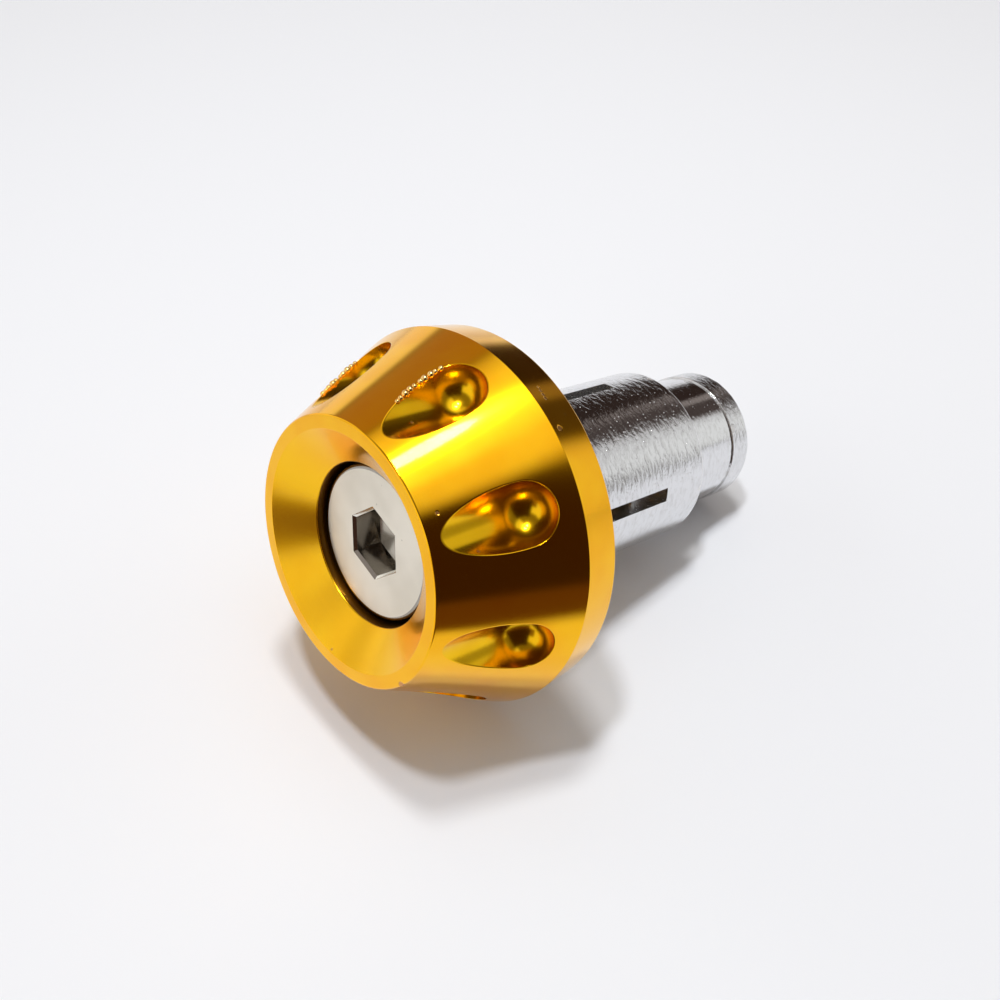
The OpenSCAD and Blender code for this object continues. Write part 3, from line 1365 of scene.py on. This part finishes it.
@dataclass(frozen=True)
class Patch:
    """A soft-edged part of the studio, by its direction from the plug.

    Azimuth 0 is away from the camera and 90 to its right. Elevation is above the table.
    """

    azimuth: float
    elevation: float
    half_width: float
    half_height: float
    soft: float
    colour: Colour


@dataclass(frozen=True)
class Lamp:
    """A round lamp, by its direction from the plug's widest line, its radius and its radiance."""

    name: str
    azimuth: float
    elevation: float
    radius: float
    radiance: float
    colour: Colour = (1.0, 1.0, 1.0)


@dataclass
class Studio:
    """The pale table, the room that the metal mirrors, and two round lamps."""

    view: PhotoView
    table_colour: Colour = (0.885, 0.905, 0.935)
    table_size: float = 420.0
    rim_fade: tuple[float, float] = (0.5, 0.95)
    near_edge: tuple[float, float] = (33.5, 48.0)
    lamps: tuple[Lamp, ...] = (
        Lamp("streak_lamp", 9.3, 80.7, 28.0, 66.0),
        Lamp("key_lamp", 249.0, 84.8, 19.0, 148.0, (0.96, 0.99, 1.05)),
    )
    lamp_away: float = 400.0
    lamp_aim_z: float = 10.6
    below: Colour = (0.9, 0.9, 0.9)
    above: Colour = (0.22, 0.19, 0.17)
    horizon: tuple[float, float] = (-4.0, 6.0)
    patches: tuple[Patch, ...] = (
        # Bright room to the left, with a dim upright and a brown one
        Patch(-105, -5.6, 56, 42, 6, (1.0, 0.99, 0.97)),
        Patch(-77, 16.7, 3, 9, 6, (0.70, 0.64, 0.60)),
        Patch(-151, 1.3, 8, 12, 6, (0.22, 0.13, 0.10)),
        # Brown wall behind, with bright strips below and above it
        Patch(-25, 2.7, 24, 7, 5, (0.95, 0.93, 0.90)),
        Patch(-23, 58.6, 30, 4, 8, (0.72, 0.68, 0.64)),
        Patch(-20, 31.6, 27, 13, 6, (0.38, 0.25, 0.19)),
        # Dark recess behind to the right, with a lighter upright in it
        Patch(23, 22.6, 18, 20, 5, (0.032, 0.020, 0.016)),
        Patch(48, 23, 9, 20, 5, (0.070, 0.053, 0.047)),
        Patch(37, 16.8, 2, 6, 4, (0.26, 0.22, 0.20)),
        # Dim room to the right with a bright panel
        Patch(94, 4, 14, 24, 9, (0.36, 0.35, 0.34)),
        Patch(76, 23.6, 12, 14, 6, (0.66, 0.65, 0.64)),
        Patch(76, 5.6, 9, 10, 6, (0.84, 0.84, 0.82)),
        # Pale ceiling over the far side, brightest round the lamp
        Patch(56, 78, 78, 14, 12, (1.0, 0.99, 0.96)),
        Patch(40, 84, 100, 4, 9, (1.6, 1.584, 1.536)),
        # Dark side from which the photograph was taken
        Patch(162, -14.6, 36, 13, 8, (0.110, 0.052, 0.030)),
        Patch(166, 23.4, 35, 28, 7, (0.036, 0.016, 0.010)),
    )

    def surround(self) -> None:
        """Builds the world: the room round the white sheet, as the metal mirrors it."""
        world = bpy.data.worlds.new("studio")
        bpy.context.scene.world = world
        g = empty_graph(world)
        way = g.add("TexCoord").outputs["Generated"]
        right, far, up = (g.dot(way, tuple(axis)) for axis in self.view.table_axes())
        azimuth = g.math("DEGREES", g.math("ARCTAN2", right, far))
        elevation = g.math("DEGREES", g.math("ARCSINE", up))
        colour: Any = g.blend(g.ramp(elevation, *self.horizon), self.below, self.above)
        for patch in self.patches:
            turned = g.math("SUBTRACT", azimuth, patch.azimuth - FULL_TURN / 2)
            wrapped = g.math("SUBTRACT", g.math("FLOORED_MODULO", turned, FULL_TURN), FULL_TURN / 2)
            apart = g.math("ABSOLUTE", wrapped)
            beside = g.ramp(apart, patch.half_width + patch.soft, patch.half_width)
            over = g.math("ABSOLUTE", g.math("SUBTRACT", elevation, patch.elevation))
            above = g.ramp(over, patch.half_height + patch.soft, patch.half_height)
            colour = g.blend(g.math("MULTIPLY", beside, above), colour, patch.colour)
        light = g.add("Background", Color=colour)
        g.add("OutputWorld", Surface=light.outputs[0])

    def table(self) -> None:
        """Builds the table, which fades at its rim and near the camera and has no underside."""
        right, far, up = self.view.table_axes()
        size = self.table_size
        mesh = bpy.data.meshes.new("table")
        ends = [(-size, -size, 0.0), (size, -size, 0.0), (size, size, 0.0), (-size, size, 0.0)]
        mesh.from_pydata([tuple(c * MM for c in p) for p in ends], [], [(0, 1, 2, 3)])
        turn = Matrix((right, far, up)).transposed().to_4x4()
        thing = placed("table", mesh, Matrix.Translation(self.view.table_point() * MM) @ turn)
        material = bpy.data.materials.new("pale_table")
        g = empty_graph(material)
        place = g.add("TexCoord").outputs["Object"]
        reach = g.add("VectorMath", {"operation": "LENGTH"}, n0=place).outputs["Value"]
        rim = g.ramp(reach, *(size * MM * share for share in self.rim_fade))
        # The sheet ends between the photograph's lower edge and the camera
        near, gone = self.near_edge
        toward = g.ramp(g.dot(place, (0.0, -1.0, 0.0)), near * MM, gone * MM)
        behind = g.add("NewGeometry").outputs["Backfacing"]
        hidden = g.math("MAXIMUM", g.math("MAXIMUM", rim, toward), behind)
        matt = g.add("BsdfDiffuse", Color=(*self.table_colour, 1.0))
        clear = g.add("BsdfTransparent")
        both = g.add("MixShader", n0=hidden, n1=matt.outputs[0], n2=clear.outputs[0])
        g.add("OutputMaterial", Surface=both.outputs[0])
        mesh.materials.append(material)

    def light(self, lamp: Lamp) -> None:
        """Builds a lamp that faces the plug.

        Args:
            lamp: The lamp.
        """
        right, far, up = self.view.table_axes()
        azimuth, elevation = math.radians(lamp.azimuth), math.radians(lamp.elevation)
        level = math.cos(azimuth) * far + math.sin(azimuth) * right
        way = math.cos(elevation) * level + math.sin(elevation) * up
        data = bpy.data.lights.new(lamp.name, "AREA")
        data.shape = "DISK"
        data.size = 2 * lamp.radius * MM
        data.color = lamp.colour
        # A disk's radiance is its power over pi times its area
        data.energy = lamp.radiance * math.pi * math.pi * (lamp.radius * MM) ** 2
        aim = way.to_track_quat("Z", "Y").to_matrix().to_4x4()
        middle = Vector((0.0, 0.0, self.lamp_aim_z))
        place = Matrix.Translation((middle + way * self.lamp_away) * MM) @ aim
        placed(lamp.name, data, place)

    def build(self) -> None:
        """Builds the whole studio."""
        self.surround()
        self.table()
        for lamp in self.lamps:
            self.light(lamp)
        LOG.info("studio: %d patches of room, a table, %d lamps", len(self.patches), len(self.lamps))


def main() -> None:
    """Builds the plug, its studio and its camera, and notes the sizes."""
    logging.basicConfig(level=logging.INFO, format="%(name)s: %(message)s")
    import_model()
    view = PhotoView()
    view.place_camera()
    Studio(view).build()
    effects = SurfaceEffects()
    EndCap().build(effects)
    CapScrew().build(effects)
    ExpansionSleeve().build(effects)
    TailNut().build(effects)
    bpy.context.scene.view_settings.view_transform = "Standard"


if __name__ == "__main__":
    main()
